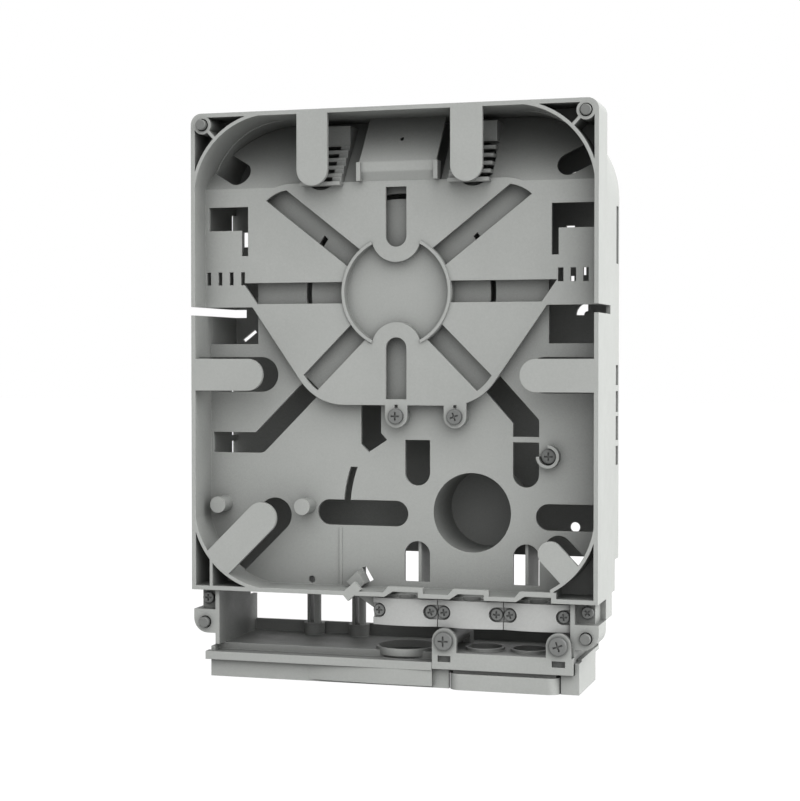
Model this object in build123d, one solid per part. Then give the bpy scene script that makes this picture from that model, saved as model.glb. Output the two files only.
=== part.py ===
from build123d import *
import os

# Wall mount fibre splice box, shown open, without its cover and cables.
# X is right, Y goes into the wall and Z is up. The origin lies on the wall face.
# A depth is measured backwards from the front plane of the trays.

# Overall sizes
BOX_W = 225.0
TRAY_H = 260.0
DEPTH = 63.0
TRAY_DEPTH = 24.5
WALL = 2.3
SHEET = 2.0
FIT = 0.3
BEYOND = 5.0

# Curved inner wall and corner posts
WELL_R = 46.0
ARC_WALL = 1.8
CORNER_R = 6.0
POST_INSET = 6.7
POST_TOP_Z = 123.7
POST_LOW_Z = -148.0
POST_R = 2.9
POST_PLAY = 0.5
POST_OUT = 3.0
POST_NECK_R = 2.5
BOSS_R = 5.0
RIB = 1.6

# Retaining fingers on the front plane
FINGER_T = 2.5
FINGER_R = 8.65
FINGER_GAP = 1.0
TOP_FINGER_X = 42.6
TOP_FINGER_TIP = 89.1
SIDE_FINGER_Z = -12.2
SIDE_FINGER_TIP = 71.2
LOW_FINGER_X = -72.1
LOW_FINGER_Z = -90.0
SMALL_FINGER_R = 6.5
SMALL_FINGER_X = 87.5
SMALL_FINGER_Z = -104.5

# Upper tray
UPPER_Z0 = 24.8
SPLIT = 4.6
DECK_AT = 15.0
CORNER_FLOOR_AT = 21.5
SLOPE_Z0 = 90.0
SLOPE_BACK = 47.0
TONGUE_HALF_BOTTOM = 45.4
TONGUE_HALF_MID = 92.0
TONGUE_HALF_TOP = 79.5
TONGUE_Z0 = -28.5
TONGUE_MID_Z = 38.4
TONGUE_Z1 = 92.0
TONGUE_LOW_R = 30.0
TONGUE_TOP_R = 25.0
RIM = 3.2
HUB_Z = 32.3
HUB_R = 30.6
HUB_WALL = 1.6
HUB_RAISE = 1.0
HUB_DEPTH = 5.0
LOBE_R = 13.9
LOBE_SHIFT = 30.1
RAY_W = 11.6
RAY_ANGLES = (0, 38, 142, 180, 225, 315)
LUG_XS = (0.0, 32.7)
LUG_Z = -34.4
LUG_R = 6.2
LUG_KEY = 0.9

# Openings in the upper tray, left ones mirrored to the right
WINDOW_X0 = 85.0
WINDOW_X1 = 108.0
WINDOW_Z0 = 67.0
WINDOW_Z1 = 80.0
RIGHT_WINDOW_DROP = 2.0
LATCH_SLIT = 3.7
LATCH_SLIT_Z0 = 53.0
VENT_Z0 = 37.0
VENT_Z1 = 44.2
VENT_PITCH = 6.7
LEFT_VENT_W = 2.3
RIGHT_VENT_W = 2.9
LEFT_VENT_X = -108.2
RIGHT_VENT_X = 89.8
CORNER_SLOT_R = 6.5
CORNER_SLOT_X = 93.0
CORNER_SLOT_Z = 99.0

# Splice holder at the top
COMB_X0 = 30.0
COMB_X1 = 52.5
COMB_Z1 = 124.0
COMB_HEAD_Z = 113.0
COMB_STEP_T = 2.0
COMB_PITCH = 4.6
COMB_COUNT = 5
COMB_SPINE = 5.0
COMB_TALL = 6.0
COMB_SEAT = 3.0
RAMP_HOLE = (1.3, 115.1, 1.1)
RAMP_X0 = -21.0
RAMP_X1 = 24.3
RAMP_T = 1.8
RAMP_TOP_AT = 32.0
RAMP_LIP_AT = 12.0
RAMP_LIP_Z = 102.0
LIP_H = 5.0
CHEEK_T = 2.3

# Lower tray
LOW_FLOOR_AT = 22.5
LOW_FLOOR_Z1 = 4.6
UNDER_HALF = 82.0
UNDER_Z1 = 90.0
UNDER_RING_R = 52.0
UNDER_RING_W = 3.0
UNDER_RING_BAR = 16.0
DRUM_X = 40.3
DRUM_Z = -86.1
DRUM_R = 21.4
DRUM_WALL = 2.0
PEG_R = 4.5
PEG_TALL = 11.5
PEG_XS = (-101.8, -52.5)
PEG_Z = -84.2
ANCHOR_X = 82.4
ANCHOR_Z = -55.2
ANCHOR_R = 6.2
ANCHOR_TALL = 5.0
POCKET_X = 88.4
CHANNEL = 11.4
POCKET_RIB_X = -101.2

# Slots in the lower floor: points, or a middle, ends and a half width
LEFT_CHANNEL = [(-108.7, -50.0), (-81.3, -50.0), (-49.0, -17.7)]
MIDDLE_CHANNEL = [(-22.1, -20.0), (-22.1, -50.0), (-17.6, -54.3), (-7.3, -47.6), (-10.7, -43.9), (-10.7, -20.0)]
RIGHT_CHANNEL = [(47.4, -20.7), (62.7, -37.7), (62.7, -45.0), (76.9, -45.0), (76.9, -35.9), (55.6, -12.6)]
RIGHT_SLOT = (69.8, -64.9, -55.0, 7.1)
LONG_SLOT = (-40.2, -2.3, -87.6, 7.0)
SHORT_SLOT = (9.9, -65.1, -54.4, 7.0)
EDGE_SLOT = (82.3, -87.5, 7.1)
ENTRY_SLOT = (-109.3, -124.2, 7.1)
ENTRY_SLOT_XS = (9.8, 70.0)
SLIT_R = 72.4
SLIT_W = 3.8
SLIT_BOX = (-36.0, -83.0, -20.0, -62.5)
SMALL_HOLE = (-50.7, -125.0, 2.0)

# Strap at the bottom edge of the lower tray
STRAP_HOLE = [(-21.6, -117.6), (-19.3, -116.8), (-15.0, -124.0), (-17.6, -125.4)]
STRAP_KNOB = ((-24.2, -131.0), (-17.0, -124.6))
STRAP_PATCH = ((-25.0, -127.2), (-19.2, -121.4))
STRAP_W = 5.4
PATCH_W = 7.6
PATCH_AT = 14.0
STEP_X = -33.0
STEP_W = 1.6
STEP_Z1 = -96.0
STEP_TALL = 0.5

# Wall housing
HOUSING_Z0 = -141.0
BACK_Z0 = -112.0
BACK_LEFT_X = -45.0
STEP_Z = -128.7
STEP_UPPER_AT = 51.7
STEP_LOWER_AT = 42.8
FIX_X = 89.0
FIX_Z = 96.0
FIX_R = 2.75
BACK_STREAK = ((-105.8, 6.8), (-98.3, 12.6))
BACK_STREAK_W = 2.2
BACK_ARC = (95.9, 20.4, 6.6, 2.2)
BACK_WINDOWS = (
    (-106.0, 61.0, -103.0, 69.5),
    (83.7, 67.0, 88.4, 69.4),
    (84.8, 39.1, 88.2, 41.9),
    (92.1, 42.3, 94.8, 46.8),
)
LATCH_CUT = (48.0, 79.0, 54.0)
SIDE_WINDOWS = ((-17.8, -7.0), (-32.4, -21.1), (-47.6, -34.6), (-61.1, -50.8))
SIDE_WINDOW_AT = 53.5
RIGHT_SLIT_BACK = 35.8
LEFT_SLIT_W = 8.5
REAR_RIB_XS = (10.6, 69.8)
REAR_RIB_Z1 = -101.0

# Entry housing under the trays
ENTRY_INSET = 10.1
SIDE_INSET = 12.6
ENTRY_FRONT = 3.0
ENTRY_BACK = 60.5
SKIRT_BACK = 50.0
ENTRY_Z0 = -177.5
ENTRY_FLOOR_Z = -160.0
ENTRY_REAR_Z = -139.0
SILL_Z = -153.5
SHELF_Z = -163.6
SHELF_BACK = 10.0
RAIL_H = 4.4
RAIL_KNOB = 2.2
BULGE_W = 70.0
FLANGE_Z1 = -141.0
FLANGE_Z0 = -154.0
FLANGE_CORNER = 8.0
RECESS_AT = 9.0
RECESS_INSET = 2.9
FLANGE_SCREW_Z = -135.2
MAIN_HOLE_SHIFT = 19.8
MAIN_HOLE_AT = 22.0
MAIN_HOLE_R = 15.6
RIM_T = 1.4
RIM_TALL = 1.6
SMALL_HOLE_R = 9.2
SMALL_HOLE_SHIFTS = (24.5, 49.1)
SMALL_HOLE_AT = 18.0

# Gland plate
GLAND_W = 75.3
GLAND_BACK = 36.0
GLAND_Z1 = -158.2
WEB = 8.8
COLLAR_SHIFT = 8.7
COLLAR_W = 59.5
COLLAR_Z1 = -169.0
COLLAR_R = 6.0
GLAND_SCREW_SHIFTS = (6.5, 67.7)
GLAND_SCREW_Z = -152.0
GLAND_LUG_R = 6.6
GLAND_LUG_T = 2.7
TOWER_R = 5.0
TOWER_BACK = 44.0
KEY_W = 7.0
KEY_H = 3.2
KEY_Z = -161.5

# Cable clamps and their saddle
CLAMP_PITCH = 35.8
CLAMP_GAP = 0.4
CLAMP_Z0 = -145.6
CLAMP_Z1 = -131.2
CLAMP_AT = 6.0
CLAMP_CROWN = 2.4
CLAMP_BACK = 10.0
GROOVE_R = 4.8
CLAMP_FOOT_AT = 7.5
CLAMP_SCREW_INSET = 3.4
POCKET_R = 3.9
CLAMP_SCREW_Z = -137.8
SADDLE_T = 9.0
NOTCH_LEFT = 9.8
NOTCH_RIGHT = 8.8
NOTCH_SLANT = 4.6
NOTCH_RISE = 3.0
NOTCH_LIP = 2.6
NOTCH_LIP_T = 3.0
NOTCH_DEPTH = 16.0
GUSSET_W = 12.0

# Cable tie pillars
PILLAR_SHIFTS = (42.1, 68.9)
PILLAR_AT = 54.0
PILLAR_R = 4.0
PILLAR_Z1 = -119.0
PILLAR_SLOT = 2.4
COLLAR_WALL = 1.6
COLLAR_TALL = 6.5

# Screws: head radius, head height, shank radius
PAN_SCREW = (4.2, 2.4, 1.5)
GLAND_SCREW = (4.9, 2.6, 1.9)
CLAMP_SCREW = (3.3, 2.0, 1.4)
LUG_SCREW_L = 8.0
TRAY_SCREW_L = 6.0
FLANGE_SCREW_L = 24.0
CLAMP_SCREW_L = 9.0
GLAND_SCREW_L = 18.0
CROSS_W = 0.9
CROSS_DEEP = 1.1
CROSS_SHARE = 0.55
HOLE_PLAY = 0.25

HALF_W = BOX_W / 2
HALF_H = TRAY_H / 2
WELL_X = HALF_W - WELL_R
WELL_Z = HALF_H - WELL_R
LOWER_Z1 = UPPER_Z0 - SPLIT
POST_X = HALF_W - POST_INSET
POST_HOLE_R = POST_R + POST_PLAY
ENTRY_HALF = HALF_W - ENTRY_INSET
SIDE_HALF = HALF_W - SIDE_INSET
RECESS_HALF = HALF_W - RECESS_INSET
GLAND_X1 = SIDE_HALF - FIT
GLAND_X0 = GLAND_X1 - GLAND_W
COLLAR_X0 = GLAND_X0 + COLLAR_SHIFT
COLLAR_X1 = COLLAR_X0 + COLLAR_W
GLAND_SCREW_XS = [GLAND_X0 + shift for shift in GLAND_SCREW_SHIFTS]
SMALL_HOLE_XS = [GLAND_X0 + shift for shift in SMALL_HOLE_SHIFTS]
MAIN_HOLE_X = GLAND_X0 - MAIN_HOLE_SHIFT
PILLAR_XS = [shift - ENTRY_HALF for shift in PILLAR_SHIFTS]
CLAMP_X0 = SIDE_HALF - WALL - CLAMP_GAP - 3 * CLAMP_PITCH
SLOPE_Z1 = HALF_H - WALL / 2


def prism(outline, near, far):
    """Solid of a front view outline between two depths."""
    plane = Plane(origin=(0, far - DEPTH, 0), x_dir=(1, 0, 0), z_dir=(0, -1, 0))
    return extrude(plane * outline, amount=far - near)


def column(outline, z0, z1):
    """Solid of a plan outline, drawn in X and depth, between two heights."""
    return extrude(Pos(0, -DEPTH, z0) * outline, amount=z1 - z0)


def rect(x0, v0, x1, v1):
    """Rectangle between two corners."""
    return Pos((x0 + x1) / 2, (v0 + v1) / 2) * Rectangle(abs(x1 - x0), abs(v1 - v0))


def disc(x, v, radius):
    """Round outline about a point."""
    return Pos(x, v) * Circle(radius)


def bar(start, end, width):
    """Straight outline of one width between two points, with square ends."""
    run = Vector(*end) - Vector(*start)
    middle = (Vector(*end) + Vector(*start)) / 2
    turn = Vector(1, 0).get_signed_angle(run, Vector(0, 0, 1))
    return Pos(middle.X, middle.Y) * Rot(0, 0, turn) * Rectangle(run.length, width)


def slot(start, end, radius):
    """Outline of one width between two points, with round ends."""
    return bar(start, end, 2 * radius) + disc(*start, radius) + disc(*end, radius)


def both_sides(shape):
    """A shape and its mirror image across the middle of the box."""
    return shape + mirror(shape, Plane.YZ)


def screw(x, z, seat, length, sizes, turn=0):
    """Cross head screw whose head rests on a seat at the given depth."""
    head_r, head_h, shank_r = sizes
    head = prism(disc(x, z, head_r), seat - head_h, seat)
    rim = head.edges().group_by(Axis.Y)[0]
    head = fillet(rim, head_h / 3)
    reach = head_r * CROSS_SHARE
    arm = rect(-reach, -CROSS_W / 2, reach, CROSS_W / 2)
    cross = arm + Rot(0, 0, 90) * arm
    head -= prism(Pos(x, z) * Rot(0, 0, turn) * cross, seat - head_h - 1, seat - head_h + CROSS_DEEP)
    return head + prism(disc(x, z, shank_r), seat, seat + length)


def frame_band():
    """Straight outer wall of the trays, round at the top corners only."""
    top = rect(-HALF_W, 0, HALF_W, HALF_H)
    outer = RectangleRounded(BOX_W, TRAY_H, CORNER_R) & top
    inner_size = (BOX_W - 2 * WALL, TRAY_H - 2 * WALL)
    inner = RectangleRounded(*inner_size, CORNER_R - WALL) & top
    outer += rect(-HALF_W, -HALF_H, HALF_W, 0)
    inner += rect(WALL - HALF_W, WALL - HALF_H, HALF_W - WALL, 0)
    return outer - inner


def well_outline(inset):
    """Rounded outline that the curved inner wall follows."""
    return RectangleRounded(BOX_W - 2 * inset, TRAY_H - 2 * inset, WELL_R - inset)


def well_band():
    """Curved inner wall that keeps the fibres at their bend radius."""
    return well_outline(0) - well_outline(ARC_WALL)


def tongue_outline():
    """Outline of the splice cassette that hangs over the lower tray."""
    half = [(TONGUE_HALF_BOTTOM, TONGUE_Z0), (TONGUE_HALF_MID, TONGUE_MID_Z), (TONGUE_HALF_TOP, TONGUE_Z1)]
    other = [(-x, z) for x, z in reversed(half)]
    face = make_face(Polyline(*half, *other, close=True))
    corners = face.vertices().sort_by(Axis.Y)
    face = fillet(corners[:2], TONGUE_LOW_R)
    corners = face.vertices().sort_by(Axis.Y)
    return fillet(corners[-2:], TONGUE_TOP_R)


def ray_slots():
    """Slots that run outwards from the hub of the cassette."""
    rays = Sketch()
    for angle in RAY_ANGLES:
        far = Vector(BOX_W, 0).rotate(Axis.Z, angle)
        rays += bar((0, HUB_Z), (far.X, far.Y + HUB_Z), RAY_W)
    rays -= disc(0, HUB_Z, HUB_R + FIT)
    for way in (1, -1):
        start = (0, HUB_Z + way * LOBE_SHIFT)
        rays += bar(start, (0, HUB_Z + way * BOX_W), RAY_W) + disc(*start, RAY_W / 2)
    return rays & offset(tongue_outline(), amount=-RIM)


def hub_outline(radius, lobe_radius):
    """Round hub with a lobe cut in above and below."""
    outline = disc(0, HUB_Z, radius)
    for way in (1, -1):
        outline -= disc(0, HUB_Z + way * LOBE_SHIFT, lobe_radius)
    return outline


def deck_profile(thickness):
    """Side view of the upper floor, flat in the middle and sloped to the top."""
    front = [(SLOPE_BACK, SLOPE_Z1), (DECK_AT, SLOPE_Z0), (DECK_AT, UPPER_Z0)]
    back = [(depth + thickness, z) for depth, z in reversed(front)]
    return make_face(Polyline(*[(depth - DEPTH, z) for depth, z in front + back], close=True))


def deck(thickness):
    """Upper floor as a solid from one side wall to the other."""
    return extrude(Plane.YZ * deck_profile(thickness), amount=HALF_W - WALL / 2, both=True)


def deck_depth(z):
    """Depth of the sloped floor's front at a height."""
    return DECK_AT + (z - SLOPE_Z0) * (SLOPE_BACK - DECK_AT) / (SLOPE_Z1 - SLOPE_Z0)


def deck_in_box():
    """Upper floor kept inside the trays in front and inside the rear chamber behind them."""
    space = prism(rect(-HALF_W, UPPER_Z0, HALF_W, HALF_H), 0, TRAY_DEPTH)
    space += prism(well_outline(WALL + FIT), TRAY_DEPTH, DEPTH - WALL - FIT)
    return deck(SHEET) & space


def corner_floors():
    """Floors of the two pockets outside the curved wall at the top."""
    outside = rect(WALL / 2 - HALF_W, WELL_Z, HALF_W - WALL / 2, HALF_H - WALL / 2)
    outside &= RectangleRounded(BOX_W, TRAY_H, CORNER_R)
    return prism(outside - well_outline(ARC_WALL / 2), CORNER_FLOOR_AT, CORNER_FLOOR_AT + SHEET)


def upper_openings():
    """Windows, latch slits, vent slots and mould slots of the upper tray."""
    window = rect(WINDOW_X0, WINDOW_Z0, WINDOW_X1, WINDOW_Z1)
    window += rect(WINDOW_X0, LATCH_SLIT_Z0, WINDOW_X0 + LATCH_SLIT, WINDOW_Z1)
    right = Pos(0, -RIGHT_WINDOW_DROP) * window
    corner_end = (CORNER_SLOT_X, CORNER_SLOT_Z)
    away = Vector(*corner_end) - Vector(WELL_X, WELL_Z)
    outer = Vector(*corner_end) + away.normalized() * CORNER_SLOT_R * 2
    moulding = slot(corner_end, (outer.X, outer.Y), CORNER_SLOT_R) & well_outline(ARC_WALL)
    tip = TOP_FINGER_TIP + FINGER_R
    moulding += slot((TOP_FINGER_X, tip), (TOP_FINGER_X, COMB_HEAD_Z - FINGER_R), FINGER_R + FINGER_GAP)
    openings = moulding + mirror(moulding, Plane.YZ) + right + mirror(window, Plane.YZ)
    for index in range(4):
        x = LEFT_VENT_X + index * VENT_PITCH
        openings += rect(x - LEFT_VENT_W / 2, VENT_Z0, x + LEFT_VENT_W / 2, VENT_Z1)
    for index in range(3):
        x = RIGHT_VENT_X + index * VENT_PITCH
        openings += rect(x - RIGHT_VENT_W / 2, VENT_Z0, x + RIGHT_VENT_W / 2, VENT_Z1)
    openings += rect(RAMP_X0 - FIT, TONGUE_Z1, RAMP_X1 + FIT, HALF_H - WALL)
    return openings


def upper_tray():
    """Upper tray: frame, curved wall, fingers, splice cassette and hub."""
    region = rect(-HALF_W, UPPER_Z0, HALF_W, HALF_H)
    body = prism((frame_band() + well_band()) & region, 0, TRAY_DEPTH)
    body += deck_in_box() + corner_floors()
    body += prism(tongue_outline(), DECK_AT, DECK_AT + SHEET)
    lugs = Sketch()
    for x in LUG_XS:
        lugs += disc(x, LUG_Z, LUG_R) + rect(x - LUG_R, LUG_Z, x + LUG_R, TONGUE_Z0 + RIM)
    body += prism(lugs, DECK_AT, DECK_AT + SHEET)
    body += prism(hub_outline(HUB_R, LOBE_R - HUB_WALL), DECK_AT, DECK_AT + HUB_DEPTH + HUB_WALL)
    ring = hub_outline(HUB_R, LOBE_R) - hub_outline(HUB_R - HUB_WALL, LOBE_R)
    body += prism(ring, DECK_AT - HUB_RAISE, DECK_AT)
    body -= prism(hub_outline(HUB_R - HUB_WALL, LOBE_R), 0, DECK_AT + HUB_DEPTH)
    body -= prism(ray_slots() + upper_openings(), BEYOND, DEPTH)
    for x in LUG_XS:
        body -= prism(disc(x, LUG_Z, PAN_SCREW[2] + HOLE_PLAY), 0, TRAY_DEPTH)
        body -= prism(rect(x - LUG_KEY, LUG_Z + LUG_R - 2 * LUG_KEY, x + LUG_KEY, LUG_Z + LUG_R), 0, TRAY_DEPTH)
    finger = slot((TOP_FINGER_X, TOP_FINGER_TIP + FINGER_R), (TOP_FINGER_X, HALF_H), FINGER_R) & well_outline(0)
    body += both_sides(prism(finger, 0, FINGER_T))
    boss = disc(POST_X, POST_TOP_Z, BOSS_R)
    rib_end = Vector(WELL_X, WELL_Z) + Vector(1, 1).normalized() * (WELL_R - ARC_WALL / 2)
    boss += bar((POST_X, POST_TOP_Z), (rib_end.X, rib_end.Y), RIB)
    boss &= RectangleRounded(BOX_W, TRAY_H, CORNER_R)
    body += both_sides(prism(boss, 0, CORNER_FLOOR_AT))
    return body - both_sides(prism(disc(POST_X, POST_TOP_Z, POST_HOLE_R), 0, CORNER_FLOOR_AT))


def finger_slots():
    """Mould slots in the lower floor, one behind each finger."""
    radius = FINGER_R + FINGER_GAP
    side = slot((SIDE_FINGER_TIP + FINGER_R, SIDE_FINGER_Z), (HALF_W, SIDE_FINGER_Z), radius)
    slots = side + mirror(side, Plane.YZ)
    slots += slot((LOW_FINGER_X, LOW_FINGER_Z), low_finger_root(), radius)
    slots += slot((SMALL_FINGER_X, SMALL_FINGER_Z), small_finger_root(), SMALL_FINGER_R + FINGER_GAP)
    return slots & well_outline(ARC_WALL)


def low_finger_root():
    """Point on the curved wall that the large diagonal finger grows from."""
    root = Vector(-WELL_X, -WELL_Z) + Vector(-1, -1).normalized() * WELL_R
    return (root.X, root.Y)


def small_finger_root():
    """Point on the curved wall that the small diagonal finger grows from."""
    root = Vector(WELL_X, -WELL_Z) + Vector(1, -1).normalized() * WELL_R
    return (root.X, root.Y)


def path_slot(points, width):
    """Slot of one width that follows straight runs."""
    outline = Sketch()
    for start, end in zip(points, points[1:]):
        outline += bar(start, end, width)
    for corner in points[1:-1]:
        outline += disc(*corner, width / 2)
    return outline


def area(points):
    """Closed outline with straight sides through the given points."""
    return make_face(Polyline(*points, close=True))


def floor_channels():
    """Slots in the lower floor that lead cables and fibres to the back."""
    outline = path_slot(LEFT_CHANNEL, CHANNEL) + area(MIDDLE_CHANNEL) + area(RIGHT_CHANNEL)
    x, z0, z1, radius = RIGHT_SLOT
    outline += slot((x, z0), (x, z1), radius) + rect(x - radius, z1, x + radius, z1 + radius)
    x0, x1, z, radius = LONG_SLOT
    outline += slot((x0, z), (x1, z), radius)
    x, z0, z1, radius = SHORT_SLOT
    outline += slot((x, z0), (x, z1), radius) + rect(x - radius, z1, x + radius, z1 + radius)
    x, z, radius = EDGE_SLOT
    outline += slot((x, z), (HALF_W, z), radius)
    z0, z1, radius = ENTRY_SLOT
    for x in ENTRY_SLOT_XS:
        outline += disc(x, z0, radius) + rect(x - radius, z0, x + radius, z1)
    ring = disc(DRUM_X, DRUM_Z, SLIT_R) - disc(DRUM_X, DRUM_Z, SLIT_R - SLIT_W)
    outline += ring & rect(*SLIT_BOX)
    outline += area(STRAP_HOLE) + disc(*SMALL_HOLE)
    return outline & rect(WALL - HALF_W, WALL - HALF_H, HALF_W - WALL, LOW_FLOOR_Z1)


def under_ring():
    """Curved slits in the floor under the cassette."""
    ring = disc(0, HUB_Z, UNDER_RING_R + UNDER_RING_W / 2) - disc(0, HUB_Z, UNDER_RING_R - UNDER_RING_W / 2)
    for end in ((BOX_W, HUB_Z + BOX_W), (BOX_W, HUB_Z - BOX_W)):
        ring -= bar((-end[0], 2 * HUB_Z - end[1]), end, UNDER_RING_BAR)
    return ring & rect(-UNDER_HALF, LOW_FLOOR_Z1, UNDER_HALF, UNDER_Z1)


def lower_walls():
    """Walls of the lower tray, with closed pockets in its bottom corners."""
    region = rect(-HALF_W, -HALF_H, HALF_W, LOWER_Z1)
    pocket = rect(POCKET_X - ARC_WALL / 2, -HALF_H, HALF_W, 0)
    curved = well_band() & (rect(-HALF_W, -HALF_H, 0, 0) + pocket)
    arc_drop = WELL_R**2 - (POCKET_X - WELL_X) ** 2
    pocket_top = -WELL_Z - arc_drop**0.5 + ARC_WALL / 2
    curved += rect(POCKET_X - ARC_WALL / 2, -HALF_H, POCKET_X + ARC_WALL / 2, pocket_top)
    rib_drop = WELL_R**2 - (-POCKET_RIB_X - WELL_X) ** 2
    rib_top = -WELL_Z - rib_drop**0.5 + ARC_WALL / 2
    curved += rect(POCKET_RIB_X - RIB / 2, -HALF_H, POCKET_RIB_X + RIB / 2, rib_top)
    return (frame_band() & region) + curved


def low_fingers():
    """Fingers of the lower tray, cut to the curved wall that they grow from."""
    side = slot((SIDE_FINGER_TIP + FINGER_R, SIDE_FINGER_Z), (HALF_W, SIDE_FINGER_Z), FINGER_R)
    outline = side + mirror(side, Plane.YZ)
    outline += slot((LOW_FINGER_X, LOW_FINGER_Z), low_finger_root(), FINGER_R)
    outline += slot((SMALL_FINGER_X, SMALL_FINGER_Z), small_finger_root(), SMALL_FINGER_R)
    return outline & well_outline(0)


def clamp_arch(index, extra):
    """Outline of the raised wall edge over a clamp, slanted on its left."""
    x = clamp_middle(index)
    top = NOTCH_RISE - HALF_H + extra
    left = x - NOTCH_LEFT - extra
    right = x + NOTCH_RIGHT + extra
    return area([(left, -HALF_H), (left + NOTCH_SLANT, top), (right, top), (right, -HALF_H)])


def lower_tray():
    """Lower tray: frame, floor with channels, cable drum, pegs and screw posts."""
    body = prism(lower_walls(), 0, TRAY_DEPTH)
    floor = rect(-HALF_W + WALL / 2, -HALF_H + WALL / 2, HALF_W - WALL / 2, LOW_FLOOR_Z1)
    floor += rect(-UNDER_HALF, 0, UNDER_HALF, UNDER_Z1)
    body += prism(floor, LOW_FLOOR_AT, TRAY_DEPTH)
    body += prism(rect(STEP_X - STEP_W, WALL - HALF_H, STEP_X, STEP_Z1), LOW_FLOOR_AT - STEP_TALL, LOW_FLOOR_AT)
    body += prism(bar(*STRAP_PATCH, PATCH_W), PATCH_AT, LOW_FLOOR_AT)
    body += prism(bar(*STRAP_KNOB, STRAP_W), 0, NOTCH_LIP_T)
    drum_back = DEPTH - WALL
    body += prism(disc(DRUM_X, DRUM_Z, DRUM_R + DRUM_WALL), LOW_FLOOR_AT, drum_back)
    body -= prism(finger_slots() + floor_channels() + under_ring(), BEYOND, TRAY_DEPTH)
    body -= prism(disc(DRUM_X, DRUM_Z, DRUM_R), 0, DEPTH)
    for x in PEG_XS:
        body += prism(disc(x, PEG_Z, PEG_R), LOW_FLOOR_AT - PEG_TALL, LOW_FLOOR_AT)
    for x in LUG_XS:
        body += prism(disc(x, LUG_Z, LUG_R - FIT), DECK_AT + SHEET, TRAY_DEPTH)
        body -= prism(disc(x, LUG_Z, PAN_SCREW[2] + HOLE_PLAY), 0, TRAY_DEPTH)
    collar = disc(ANCHOR_X, ANCHOR_Z, ANCHOR_R) - disc(ANCHOR_X, ANCHOR_Z, ANCHOR_R - RIB)
    collar -= rect(ANCHOR_X - ANCHOR_R, ANCHOR_Z, ANCHOR_X, ANCHOR_Z + ANCHOR_R)
    body += prism(collar, LOW_FLOOR_AT - ANCHOR_TALL, LOW_FLOOR_AT)
    body -= prism(disc(ANCHOR_X, ANCHOR_Z, PAN_SCREW[2] + HOLE_PLAY), 0, TRAY_DEPTH)
    body += prism(low_fingers(), 0, FINGER_T)
    for index in range(3):
        body += prism(clamp_arch(index, NOTCH_LIP), 0, NOTCH_LIP_T)
        body -= prism(clamp_arch(index, 0), 0, NOTCH_DEPTH)
    return body


def housing_outline(inset):
    """Rear chamber outline: curved at the top corners, square below."""
    outline = well_outline(inset) & rect(-HALF_W, 0, HALF_W, HALF_H)
    return outline + rect(inset - HALF_W, HOUSING_Z0, HALF_W - inset, 0)


def back_openings():
    """Small openings of the back wall behind the trays' windows."""
    outline = bar(*BACK_STREAK, BACK_STREAK_W)
    x, z, outer, inner = BACK_ARC
    outline += (disc(x, z, outer) - disc(x, z, inner)) & rect(x - outer, z, x, z + outer)
    for corners in BACK_WINDOWS:
        outline += rect(*corners)
    return outline


def wall_housing():
    """Rear chamber that is fixed to the wall, open towards the trays."""
    body = prism(housing_outline(0), TRAY_DEPTH, DEPTH)
    inner = housing_outline(WALL) + rect(WALL - HALF_W, HOUSING_Z0, HALF_W - WALL, 0)
    body -= prism(inner, 0, DEPTH - WALL)
    for x in REAR_RIB_XS:
        body += prism(rect(x - RIB / 2, HOUSING_Z0, x + RIB / 2, REAR_RIB_Z1), TRAY_DEPTH + FIT, DEPTH)
    body -= prism(rect(BACK_LEFT_X, HOUSING_Z0, HALF_W, BACK_Z0), STEP_UPPER_AT, DEPTH)
    body -= prism(rect(-HALF_W, HOUSING_Z0, HALF_W, STEP_Z), STEP_LOWER_AT, DEPTH)
    body -= prism(back_openings(), TRAY_DEPTH, DEPTH)
    z0, z1, near = LATCH_CUT
    body -= both_sides(prism(rect(HALF_W - WALL, z0, HALF_W, z1), near, DEPTH - WALL))
    for z0, z1 in SIDE_WINDOWS:
        body -= both_sides(prism(rect(HALF_W - WALL, z0, HALF_W, z1), SIDE_WINDOW_AT, DEPTH - WALL))
    body -= prism(rect(HALF_W - WALL, LOWER_Z1, HALF_W, UPPER_Z0), TRAY_DEPTH, RIGHT_SLIT_BACK)
    body -= prism(rect(-HALF_W, LOWER_Z1, LEFT_SLIT_W - HALF_W, UPPER_Z0), TRAY_DEPTH, DEPTH)
    boss = rect(POST_X - BOSS_R + RIB, HOUSING_Z0, HALF_W - WALL / 2, -HALF_H)
    boss -= disc(POST_X, FLANGE_SCREW_Z, PAN_SCREW[2] + HOLE_PLAY)
    body += both_sides(prism(boss, TRAY_DEPTH, STEP_LOWER_AT))
    for x in (-FIX_X, FIX_X):
        for z in (-FIX_Z, FIX_Z):
            body -= prism(disc(x, z, FIX_R), TRAY_DEPTH, DEPTH)
    return body


def flange():
    """Right hand flange of the entry housing, with its screw recess and post hole."""
    inner = SIDE_HALF - WALL
    plate = rect(inner, FLANGE_Z0, HALF_W, FLANGE_Z1)
    plate = fillet(plate.vertices().group_by(Axis.Y)[0].sort_by(Axis.X)[-1], FLANGE_CORNER)
    body = prism(plate, ENTRY_FRONT, TRAY_DEPTH)
    recess = rect(inner, FLANGE_Z1, RECESS_HALF, -HALF_H)
    recess -= disc(POST_X, FLANGE_SCREW_Z, PAN_SCREW[2] + HOLE_PLAY)
    body += prism(recess, RECESS_AT, TRAY_DEPTH)
    return body - prism(disc(POST_X, POST_LOW_Z, POST_HOLE_R), 0, LOW_FLOOR_AT)


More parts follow.
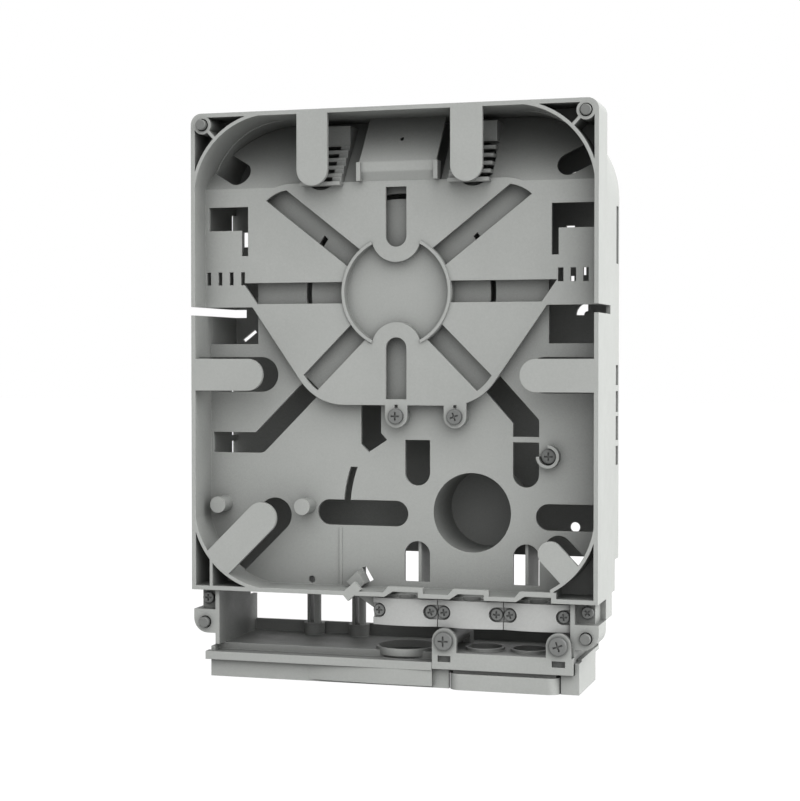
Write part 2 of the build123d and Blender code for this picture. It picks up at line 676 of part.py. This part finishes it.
def entry_walls():
    """Side walls, floor, shelf and skirt of the entry housing."""
    inner = ENTRY_HALF - WALL
    wall = SIDE_HALF - WALL
    side = prism(rect(wall, ENTRY_FLOOR_Z - WALL, SIDE_HALF, -HALF_H), ENTRY_FRONT, SKIRT_BACK)
    side += prism(rect(wall, ENTRY_FLOOR_Z - WALL, SIDE_HALF, ENTRY_REAR_Z), SKIRT_BACK, ENTRY_BACK)
    body = both_sides(side)
    plate = rect(-ENTRY_HALF, SHELF_BACK, ENTRY_HALF, ENTRY_BACK)
    body += column(plate, ENTRY_FLOOR_Z - WALL, ENTRY_FLOOR_Z)
    sill = rect(-ENTRY_HALF, ENTRY_BACK - WALL, ENTRY_HALF, ENTRY_BACK)
    body += column(sill, ENTRY_FLOOR_Z, SILL_Z)
    skirt = rect(-ENTRY_HALF, ENTRY_FRONT, ENTRY_HALF, SKIRT_BACK)
    skirt -= rect(-inner, ENTRY_FRONT + WALL, inner, SKIRT_BACK - WALL)
    body += column(skirt, ENTRY_Z0, ENTRY_FLOOR_Z - WALL / 2)
    body += column(rect(-inner, SHELF_BACK, inner, SHELF_BACK + WALL), SHELF_Z - WALL, ENTRY_FLOOR_Z)
    body += column(rect(-inner, ENTRY_FRONT, inner, SHELF_BACK + WALL), SHELF_Z - WALL, SHELF_Z)
    return body - column(rect(-inner, 0, inner, SHELF_BACK), SHELF_Z, ENTRY_FLOOR_Z)


def rail_and_bulge():
    """Cover rail along the front and the bulge of the front wall beneath it."""
    end = GLAND_X0 - FIT
    rail = rect(-ENTRY_HALF - RAIL_KNOB, 0, end, ENTRY_FRONT + WALL)
    body = column(rail, SHELF_Z - RAIL_H, SHELF_Z)
    start = end - BULGE_W
    crown = ThreePointArc((start, ENTRY_FRONT), ((start + end) / 2, FIT), (end, FIT * 2))
    inside = ENTRY_FRONT + WALL / 2
    close = Polyline((end, FIT * 2), (end, inside), (start, inside), (start, ENTRY_FRONT))
    return body + column(make_face(crown + close), ENTRY_Z0 + 1, SHELF_Z - RAIL_H)


def gland_towers():
    """Screw towers behind the gland plate, with the legs that carry them."""
    left, right = GLAND_SCREW_XS
    body = prism(disc(left, GLAND_SCREW_Z, TOWER_R), GLAND_LUG_T, TOWER_BACK)
    leg = rect(left - TOWER_R, ENTRY_FLOOR_Z, left + TOWER_R, GLAND_SCREW_Z)
    body += prism(leg, GLAND_BACK + FIT, TOWER_BACK)
    body += prism(disc(right, GLAND_SCREW_Z, TOWER_R), GLAND_LUG_T, TOWER_BACK)
    web = rect(right, GLAND_SCREW_Z - WALL / 2, SIDE_HALF - WALL / 2, GLAND_SCREW_Z + WALL / 2)
    body += prism(web, GLAND_LUG_T, TOWER_BACK)
    for x in GLAND_SCREW_XS:
        body -= prism(disc(x, GLAND_SCREW_Z, GLAND_SCREW[2] + HOLE_PLAY), 0, GLAND_BACK)
    return body


def entry_housing():
    """Cable entry housing: floor with entry holes, flanges, rail and screw towers."""
    body = entry_walls() + both_sides(flange())
    cut = rect(GLAND_X0 - FIT, -BEYOND, ENTRY_HALF - WALL, GLAND_BACK + FIT)
    body -= column(cut, GLAND_Z1 - WEB - FIT, GLAND_Z1 + FIT)
    body -= column(rect(COLLAR_X0 - FIT, -BEYOND, COLLAR_X1 + FIT, GLAND_BACK + FIT), ENTRY_Z0, GLAND_Z1)
    rim = disc(MAIN_HOLE_X, MAIN_HOLE_AT, MAIN_HOLE_R + RIM_T)
    body += column(rim, ENTRY_FLOOR_Z - WALL, ENTRY_FLOOR_Z + RIM_TALL)
    for x in PILLAR_XS:
        collar = disc(x, PILLAR_AT, PILLAR_R + FIT + COLLAR_WALL) - disc(x, PILLAR_AT, PILLAR_R + FIT)
        body += column(collar, ENTRY_FLOOR_Z, ENTRY_FLOOR_Z + COLLAR_TALL)
    body += rail_and_bulge() + gland_towers()
    return body - column(disc(MAIN_HOLE_X, MAIN_HOLE_AT, MAIN_HOLE_R), ENTRY_Z0 - 1, SILL_Z)


def gland_plate():
    """Screwed plate with two entry holes, its collar and its two screw lugs."""
    web = column(rect(GLAND_X0, 0, GLAND_X1, GLAND_BACK), GLAND_Z1 - WEB, GLAND_Z1)
    neck = rect(COLLAR_X0 + WALL, WALL, COLLAR_X1 - WALL, GLAND_BACK - WALL)
    body = web + column(neck, COLLAR_Z1, GLAND_Z1 - WEB)
    collar = rect(COLLAR_X0, -CLAMP_GAP, COLLAR_X1, GLAND_BACK)
    collar = fillet(collar.vertices(), COLLAR_R)
    body += column(collar, ENTRY_Z0, COLLAR_Z1)
    lugs = Sketch()
    for x in GLAND_SCREW_XS:
        lugs += disc(x, GLAND_SCREW_Z, GLAND_LUG_R)
        lugs += rect(x - GLAND_LUG_R, GLAND_Z1 - WEB, x + GLAND_LUG_R, GLAND_SCREW_Z)
        lugs -= disc(x, GLAND_SCREW_Z, GLAND_SCREW[2] + HOLE_PLAY)
        lugs -= rect(x - KEY_W / 2, KEY_Z - KEY_H / 2, x + KEY_W / 2, KEY_Z + KEY_H / 2)
    body += prism(lugs, 0, GLAND_LUG_T)
    for x in GLAND_SCREW_XS:
        body -= prism(rect(x - KEY_W / 2, KEY_Z - KEY_H / 2, x + KEY_W / 2, KEY_Z + KEY_H / 2), 0, GLAND_LUG_T)
    for x in SMALL_HOLE_XS:
        body += column(disc(x, SMALL_HOLE_AT, SMALL_HOLE_R + RIM_T), GLAND_Z1, GLAND_Z1 + RIM_TALL)
    for x in SMALL_HOLE_XS:
        body -= column(disc(x, SMALL_HOLE_AT, SMALL_HOLE_R), ENTRY_Z0 - 1, GLAND_Z1 + RIM_TALL + 1)
    return body


def clamp_middle(index):
    """Middle of a clamp, counted from the left."""
    return CLAMP_X0 + (index + 0.5) * CLAMP_PITCH


def clamp_screw_xs(index):
    """Places of the two screws of a clamp."""
    reach = (CLAMP_PITCH - CLAMP_GAP) / 2 - CLAMP_SCREW_INSET
    return (clamp_middle(index) - reach, clamp_middle(index) + reach)


def cable_clamp(index):
    """Strap with a round crown that presses cables on the saddle."""
    x = clamp_middle(index)
    half = (CLAMP_PITCH - CLAMP_GAP) / 2
    crown = ThreePointArc((x - half, CLAMP_AT), (x, CLAMP_AT - CLAMP_CROWN), (x + half, CLAMP_AT))
    sides = Polyline((x + half, CLAMP_AT), (x + half, CLAMP_BACK), (x - half, CLAMP_BACK), (x - half, CLAMP_AT))
    body = column(make_face(crown + sides) - disc(x, CLAMP_BACK, GROOVE_R), CLAMP_Z0, CLAMP_Z1)
    for screw_x in clamp_screw_xs(index):
        edge = screw_x + (BEYOND if screw_x > x else -BEYOND)
        pocket = disc(screw_x, CLAMP_SCREW_Z, POCKET_R)
        pocket += rect(screw_x, CLAMP_SCREW_Z - POCKET_R, edge, CLAMP_SCREW_Z + POCKET_R)
        body -= prism(pocket, -BEYOND, CLAMP_FOOT_AT)
        body -= prism(disc(screw_x, CLAMP_SCREW_Z, CLAMP_SCREW[2] + HOLE_PLAY), 0, CLAMP_BACK)
    return body


def clamp_saddle():
    """Bar under the lower tray with a cable groove and two screw holes for each clamp."""
    x1 = CLAMP_X0 + 3 * CLAMP_PITCH
    body = column(rect(CLAMP_X0, CLAMP_BACK, x1, CLAMP_BACK + SADDLE_T), CLAMP_Z0, -HALF_H)
    gusset = area([(CLAMP_X0 - GUSSET_W, -HALF_H), (CLAMP_X0, -HALF_H), (CLAMP_X0, CLAMP_SCREW_Z)])
    body += prism(gusset, CLAMP_BACK, CLAMP_BACK + WALL)
    for index in range(3):
        groove = disc(clamp_middle(index), CLAMP_BACK, GROOVE_R)
        body -= column(groove, CLAMP_Z0 - 1, -HALF_H)
        for x in clamp_screw_xs(index):
            body -= prism(disc(x, CLAMP_SCREW_Z, CLAMP_SCREW[2] + HOLE_PLAY), 0, CLAMP_BACK + SADDLE_T)
    return body


def splice_comb():
    """Stepped comb that holds the splice sleeves one above the other, on the sloped floor."""
    head_at = deck_depth(COMB_HEAD_Z) - COMB_TALL
    body = prism(rect(COMB_X0, COMB_HEAD_Z, COMB_X1, COMB_Z1), head_at, DEPTH)
    for index in range(COMB_COUNT):
        top = COMB_HEAD_Z - COMB_PITCH * index
        near = deck_depth(top - COMB_PITCH) - COMB_TALL
        body += prism(rect(COMB_X0, top - COMB_PITCH, COMB_X0 + COMB_SPINE, top), near + COMB_SEAT, DEPTH)
        body += prism(rect(COMB_X0, top - COMB_PITCH, COMB_X1, top - COMB_PITCH + COMB_STEP_T), near, DEPTH)
    return body - deck(DEPTH) - prism(tongue_outline(), DECK_AT, DEPTH)


def splice_ramp():
    """Bent sheet between the combs, with a rolled lip and a cheek on each side."""
    front = [(RAMP_TOP_AT, HALF_H - WALL), (RAMP_LIP_AT, RAMP_LIP_Z), (RAMP_LIP_AT, RAMP_LIP_Z - LIP_H)]
    front.append((DECK_AT, TONGUE_Z1))
    back = [(depth + RAMP_T, z) for depth, z in reversed(front)]
    sheet = make_face(Polyline(*[(depth - DEPTH, z) for depth, z in front + back], close=True))
    bends = [v for v in sheet.vertices() if TONGUE_Z1 < v.Y < HALF_H - WALL]
    sheet = fillet(bends, RAMP_T)
    start = Plane.YZ.offset(RAMP_X0 + CHEEK_T / 2)
    body = extrude(start * sheet, amount=RAMP_X1 - RAMP_X0 - CHEEK_T)
    for x in (RAMP_X0, RAMP_X1 - CHEEK_T):
        cheek = rect(x, TONGUE_Z1, x + CHEEK_T, RAMP_LIP_Z)
        body += prism(cheek, RAMP_LIP_AT - RAMP_T, DECK_AT + SHEET)
    return body - prism(disc(*RAMP_HOLE), DECK_AT, RAMP_TOP_AT)


def tie_pillar(x):
    """Slotted pillar for a cable tie, standing in a collar of the entry floor."""
    round_bar = disc(x, PILLAR_AT, PILLAR_R)
    body = column(round_bar, ENTRY_FLOOR_Z, PILLAR_Z1)
    gap = rect(x - PILLAR_SLOT / 2, ENTRY_FLOOR_Z + COLLAR_TALL, x + PILLAR_SLOT / 2, PILLAR_Z1 - 2 * PILLAR_R)
    return body - prism(gap, 0, DEPTH)


def corner_post(x, z, out):
    """Short round post for the cover, with a neck in the hole that it is seated in."""
    seat = CORNER_FLOOR_AT if z > 0 else LOW_FLOOR_AT
    mouth = 0 if z > 0 else ENTRY_FRONT
    head = prism(disc(x, z, POST_R), -out, mouth - FIT)
    head = chamfer(head.edges().group_by(Axis.Y)[0], RIB / 4)
    return head + prism(disc(x, z, POST_NECK_R), mouth - FIT, seat)


def screw_group(places, seat, length, sizes, turns):
    """Screws of one size as separate solids."""
    screws = []
    for (x, z), turn in zip(places, turns):
        screws.append(screw(x, z, seat, length, sizes, turn))
    return Compound(children=screws)


def assembly():
    """Every piece of the box by name."""
    lug_places = [(x, LUG_Z) for x in LUG_XS]
    flange_places = [(-POST_X, FLANGE_SCREW_Z), (POST_X, FLANGE_SCREW_Z)]
    clamp_places = [(x, CLAMP_SCREW_Z) for index in range(3) for x in clamp_screw_xs(index)]
    gland_places = [(x, GLAND_SCREW_Z) for x in GLAND_SCREW_XS]
    turns = (0, 20, 10, 0, 15, 5)
    return {
        "wall_housing": wall_housing(),
        "upper_tray": upper_tray(),
        "lower_tray": lower_tray(),
        "entry_housing": entry_housing(),
        "gland_plate": gland_plate(),
        "clamp_saddle": clamp_saddle(),
        "cable_clamp_left": cable_clamp(0),
        "cable_clamp_middle": cable_clamp(1),
        "cable_clamp_right": cable_clamp(2),
        "splice_comb_left": mirror(splice_comb(), Plane.YZ),
        "splice_comb_right": splice_comb(),
        "splice_ramp": splice_ramp(),
        "tie_pillar_left": tie_pillar(PILLAR_XS[0]),
        "tie_pillar_right": tie_pillar(PILLAR_XS[1]),
        "cover_post_upper_left": corner_post(-POST_X, POST_TOP_Z, POST_OUT),
        "cover_post_upper_right": corner_post(POST_X, POST_TOP_Z, POST_OUT / 2),
        "cover_post_lower_left": corner_post(-POST_X, POST_LOW_Z, 0),
        "cover_post_lower_right": corner_post(POST_X, POST_LOW_Z, 0),
        "lug_screws": screw_group(lug_places, DECK_AT, LUG_SCREW_L, PAN_SCREW, turns),
        "tray_screw": screw_group([(ANCHOR_X, ANCHOR_Z)], LOW_FLOOR_AT, TRAY_SCREW_L, PAN_SCREW, turns),
        "flange_screws": screw_group(flange_places, RECESS_AT, FLANGE_SCREW_L, CLAMP_SCREW, (0, 45)),
        "clamp_screws": screw_group(clamp_places, CLAMP_FOOT_AT, CLAMP_SCREW_L, CLAMP_SCREW, turns),
        "gland_plate_screws": screw_group(gland_places, 0, GLAND_SCREW_L, GLAND_SCREW, turns),
    }


if __name__ == "__main__":
    os.makedirs("parts", exist_ok=True)
    for name, shape in assembly().items():
        export_step(shape, f"parts/{name}.step")
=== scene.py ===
import math

import bpy
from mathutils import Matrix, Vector


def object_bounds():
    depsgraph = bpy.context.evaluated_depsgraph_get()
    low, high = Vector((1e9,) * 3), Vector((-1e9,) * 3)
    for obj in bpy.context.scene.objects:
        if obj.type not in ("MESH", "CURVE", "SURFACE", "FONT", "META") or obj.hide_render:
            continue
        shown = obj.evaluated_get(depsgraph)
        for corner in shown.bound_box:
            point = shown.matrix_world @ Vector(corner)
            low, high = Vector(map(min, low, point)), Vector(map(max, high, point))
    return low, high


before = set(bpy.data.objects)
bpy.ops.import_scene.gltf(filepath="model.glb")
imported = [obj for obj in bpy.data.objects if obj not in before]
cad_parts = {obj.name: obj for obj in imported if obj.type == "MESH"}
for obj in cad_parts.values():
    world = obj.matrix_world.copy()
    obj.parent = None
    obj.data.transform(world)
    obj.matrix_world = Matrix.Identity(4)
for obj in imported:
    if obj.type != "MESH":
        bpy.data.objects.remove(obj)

CAD_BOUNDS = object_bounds()
SCENE = bpy.context.scene
SCENE.view_settings.view_transform = "Standard"

# camera, at the photograph's angle: metres, with lens and sensor in millimetres
CAMERA_AT = Vector((0.2716, -0.9545, -0.0038))
CAMERA_YAW = math.radians(16.55)
CAMERA_PITCH = math.radians(-1.34)
CAMERA_LENS = 79.2
CAMERA_SENSOR = 36.0
CAMERA_NEAR = 0.01
CAMERA_FAR = 50.0

# floor, just under the object: the camera sees mostly its glow, and the rest takes the shadow
FLOOR_GAP = 0.0004
FLOOR_Z = CAD_BOUNDS[0][2] - FLOOR_GAP
FLOOR_HALF = 6.0
FLOOR_SHADOW = 0.16
FLOOR_GLOW = 1.18
FLOOR_COLOUR = (0.45, 0.45, 0.45, 1.0)

# sky: the object is lit from around one direction, and the camera sees plain white
WHITE = (1.0, 1.0, 1.0, 1.0)
SKY_LOW = 0.0
SKY_HIGH = 2.5
SKY_EDGE = 0.33
SKY_TOWARDS = (0.48, -0.59, 0.65)
SEEN_STRENGTH = 1.0

# one lamp, to the right and slightly behind
RIM_AT = (1.70, 0.15, 0.75)
RIM_TARGET = (0.0, -0.03, 0.0)
RIM_SIZE = (1.1, 1.1)
RIM_POWER = 27.5

# plastics and screws, linear colours
HOUSING_COLOUR = (0.405, 0.416, 0.400)
CLAMP_COLOUR = (0.485, 0.492, 0.480)
POST_COLOUR = (0.185, 0.190, 0.183)
SCREW_COLOUR = (0.185, 0.190, 0.185)

# noise of the surfaces: how fine it is, the part of its range that is used, what it does
CLOUD_SCALE = 22.0
SMUDGE_SCALE = 70.0
NOISE_USED = (0.3, 0.7)
TONE_SPREAD = (0.965, 1.035)
SHINE_SMUDGES = 0.07
SHINE_SPECKS = 0.03
BUMP_HEIGHT = 0.00012
SPECULAR = 0.4

# edges: rounded for light alone, and paler where the rounded normal turns from the flat one
EDGE_RADIUS = 0.00035
EDGE_TURN = (0.995, 0.86)
WORN_PATCHES = (0.35, 1.0)
WORN_PALER = 1.5

# recesses: darkened by how little sky a point sees, standing in for the photograph's light
RECESS_REACH = 0.08
RECESS_DARK = 0.3
RECESS_POWER = 0.62
ENTRY_RECESS_POWER = 1.5
SHADER_SAMPLES = 4


def camera():
    data = bpy.data.cameras.new("photo_camera")
    data.lens = CAMERA_LENS
    data.sensor_width = CAMERA_SENSOR
    data.sensor_fit = "HORIZONTAL"
    data.clip_start = CAMERA_NEAR
    data.clip_end = CAMERA_FAR
    thing = bpy.data.objects.new("photo_camera", data)
    SCENE.collection.objects.link(thing)
    thing.location = CAMERA_AT
    thing.rotation_euler = (math.pi / 2 + CAMERA_PITCH, 0.0, CAMERA_YAW)
    SCENE.camera = thing


def rim_light():
    data = bpy.data.lights.new("rim_right", "AREA")
    data.shape = "RECTANGLE"
    data.size, data.size_y = RIM_SIZE
    data.energy = RIM_POWER
    thing = bpy.data.objects.new("rim_right", data)
    SCENE.collection.objects.link(thing)
    thing.location = Vector(RIM_AT)
    aim = Vector(RIM_TARGET) - Vector(RIM_AT)
    thing.rotation_euler = aim.to_track_quat("-Z", "Y").to_euler()


class Graph:
    """Adds and links the nodes of one shader tree."""

    def __init__(self, tree):
        self.tree = tree
        self.tree.nodes.clear()

    def add(self, kind, values=None, **settings):
        """A new node; a value that is another node's output is linked."""
        node = self.tree.nodes.new(kind)
        for key, value in settings.items():
            setattr(node, key, value)
        for key, value in (values or {}).items():
            if isinstance(value, bpy.types.NodeSocket):
                self.tree.links.new(value, node.inputs[key])
            else:
                node.inputs[key].default_value = value
        return node

    def calc(self, operation, first, second):
        node = self.add("ShaderNodeMath", {0: first, 1: second}, operation=operation)
        return node.outputs[0]

    def spread(self, value, start, end, low, high):
        """Carries the value from start..end over to low..high, and holds it there at both ends."""
        node = self.add("ShaderNodeMapRange", {"Value": value, "From Min": start, "From Max": end,
                                               "To Min": low, "To Max": high})
        return node.outputs["Result"]


def seen_rays(graph):
    """1 for the rays that show the background: camera, glossy and transmission rays."""
    path = graph.add("ShaderNodeLightPath").outputs
    first = graph.calc("MAXIMUM", path["Is Camera Ray"], path["Is Glossy Ray"])
    return graph.calc("MAXIMUM", first, path["Is Transmission Ray"])


def sky():
    world = bpy.data.worlds.new("studio")
    SCENE.world = world
    world.use_nodes = True
    graph = Graph(world.node_tree)
    towards = graph.add("ShaderNodeTexCoord").outputs["Generated"]
    facing = graph.add("ShaderNodeVectorMath", {0: towards, 1: SKY_TOWARDS},
                       operation="DOT_PRODUCT")
    level = graph.spread(facing.outputs["Value"], SKY_EDGE, 1.0, SKY_LOW, SKY_HIGH)
    soft = graph.add("ShaderNodeBackground", {"Color": WHITE, "Strength": level})
    white = graph.add("ShaderNodeBackground", {"Color": WHITE, "Strength": SEEN_STRENGTH})
    mix = graph.add("ShaderNodeMixShader",
                    {0: seen_rays(graph), 1: soft.outputs[0], 2: white.outputs[0]})
    graph.add("ShaderNodeOutputWorld", {"Surface": mix.outputs[0]})


def floor():
    """The white floor; it casts no shadow, so that the painted recess shade leaves it out."""
    mesh = bpy.data.meshes.new("floor")
    corners = [(-FLOOR_HALF, -FLOOR_HALF), (FLOOR_HALF, -FLOOR_HALF),
               (FLOOR_HALF, FLOOR_HALF), (-FLOOR_HALF, FLOOR_HALF)]
    mesh.from_pydata([(x, y, FLOOR_Z) for x, y in corners], [], [(0, 1, 2, 3)])
    thing = bpy.data.objects.new("floor", mesh)
    SCENE.collection.objects.link(thing)
    material = bpy.data.materials.new("floor_white")
    material.use_nodes = True
    graph = Graph(material.node_tree)
    paper = graph.add("ShaderNodeBsdfDiffuse", {"Color": FLOOR_COLOUR})
    glow = graph.add("ShaderNodeEmission", {"Color": WHITE, "Strength": FLOOR_GLOW})
    share = graph.calc("MULTIPLY", seen_rays(graph), 1.0 - FLOOR_SHADOW)
    mix = graph.add("ShaderNodeMixShader", {0: share, 1: paper.outputs[0], 2: glow.outputs[0]})
    graph.add("ShaderNodeOutputMaterial", {"Surface": mix.outputs[0]})
    mesh.materials.append(material)
    thing.visible_shadow = False


def moulded(name, colour, roughness, grain, grain_size, wear, metallic=0.0,
            recess_power=RECESS_POWER):
    """A moulded surface: fine grain, cloudy colour, painted shade in the recesses, soft edges worn
    paler.
    """
    material = bpy.data.materials.new(name)
    material.use_nodes = True
    graph = Graph(material.node_tree)
    place = graph.add("ShaderNodeTexCoord").outputs["Object"]

    def noise(scale, detail, rough, distortion=0.0):
        node = graph.add("ShaderNodeTexNoise",
                         {"Vector": place, "Scale": scale, "Detail": detail,
                          "Roughness": rough, "Distortion": distortion})
        return node.outputs["Fac"]

    clouds = noise(CLOUD_SCALE, detail=4.0, rough=0.6)
    specks = noise(1.0 / grain_size, detail=3.0, rough=0.65)
    smudges = noise(SMUDGE_SCALE, detail=5.0, rough=0.7, distortion=0.6)

    tone = graph.calc("MULTIPLY", graph.spread(clouds, *NOISE_USED, *TONE_SPREAD),
                      graph.spread(specks, *NOISE_USED, *TONE_SPREAD))
    # painted shade: the colour darkens where ambient occlusion finds the surface hemmed in, never
    # below RECESS_DARK
    recess = graph.add("ShaderNodeAmbientOcclusion", {"Distance": RECESS_REACH},
                       samples=SHADER_SAMPLES)
    depth = graph.calc("POWER", recess.outputs["AO"], recess_power)
    painted_shade = graph.calc("MAXIMUM", depth, RECESS_DARK)
    tone = graph.calc("MULTIPLY", tone, painted_shade)
    base = graph.add("ShaderNodeVectorMath", {0: colour, "Scale": tone}, operation="SCALE")

    soft = graph.add("ShaderNodeBevel", {"Radius": EDGE_RADIUS}, samples=SHADER_SAMPLES)
    plain = graph.add("ShaderNodeNewGeometry").outputs["Normal"]
    turn = graph.add("ShaderNodeVectorMath", {0: soft.outputs[0], 1: plain},
                     operation="DOT_PRODUCT")
    edge = graph.spread(turn.outputs["Value"], *EDGE_TURN, 0.0, wear)
    worn = graph.calc("MULTIPLY", edge, graph.spread(smudges, *NOISE_USED, *WORN_PATCHES))
    paler = [min(1.0, part * WORN_PALER) for part in colour] + [1.0]
    pale = graph.add("ShaderNodeMix", {0: worn, 6: base.outputs[0], 7: paler}, data_type="RGBA")

    shine = graph.calc("ADD",
                       graph.spread(smudges, *NOISE_USED, roughness - SHINE_SMUDGES,
                                    roughness + SHINE_SMUDGES),
                       graph.spread(specks, *NOISE_USED, -SHINE_SPECKS, SHINE_SPECKS))
    bump = graph.add("ShaderNodeBump", {"Strength": grain, "Distance": BUMP_HEIGHT,
                                        "Height": specks, "Normal": soft.outputs[0]})
    shader = graph.add("ShaderNodeBsdfPrincipled",
                       {"Base Color": pale.outputs[2], "Roughness": shine, "Metallic": metallic,
                        "Normal": bump.outputs["Normal"], "Specular IOR Level": SPECULAR})
    graph.add("ShaderNodeOutputMaterial", {"Surface": shader.outputs[0]})
    return material


def dress(names, material):
    """Puts the material in the slots of the named pieces; each piece is loaded with one."""
    for name in names:
        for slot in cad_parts[name].material_slots:
            slot.material = material


camera()
sky()
floor()
rim_light()

CLAMPS = ["cable_clamp_left", "cable_clamp_middle", "cable_clamp_right"]
SCREWS = ["lug_screws", "tray_screw", "flange_screws", "clamp_screws", "gland_plate_screws"]
ENTRY = ["entry_housing", "gland_plate"]
POSTS = [name for name in sorted(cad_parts) if name.startswith("cover_post")]
HOUSING = [name for name in sorted(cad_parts)
           if name not in CLAMPS + SCREWS + ENTRY + POSTS]

HOUSING_FINISH = {"roughness": 0.56, "grain": 0.28, "grain_size": 0.0011, "wear": 0.5}
CLAMP_FINISH = {"roughness": 0.50, "grain": 0.16, "grain_size": 0.0013, "wear": 0.45}
POST_FINISH = {"roughness": 0.50, "grain": 0.16, "grain_size": 0.0011, "wear": 0.4}
SCREW_FINISH = {"roughness": 0.42, "grain": 0.35, "grain_size": 0.0006, "wear": 0.7,
                "metallic": 0.35}

dress(HOUSING, moulded("housing_plastic", HOUSING_COLOUR, **HOUSING_FINISH))
# the entry pieces: the housing plastic again, with deeper painted shade in their recesses
dress(ENTRY, moulded("entry_plastic_deeper_painted_shade", HOUSING_COLOUR, **HOUSING_FINISH,
                     recess_power=ENTRY_RECESS_POWER))
dress(CLAMPS, moulded("clamp_plastic", CLAMP_COLOUR, **CLAMP_FINISH))
dress(POSTS, moulded("post_plastic", POST_COLOUR, **POST_FINISH))
dress(SCREWS, moulded("screw_grey", SCREW_COLOUR, **SCREW_FINISH))
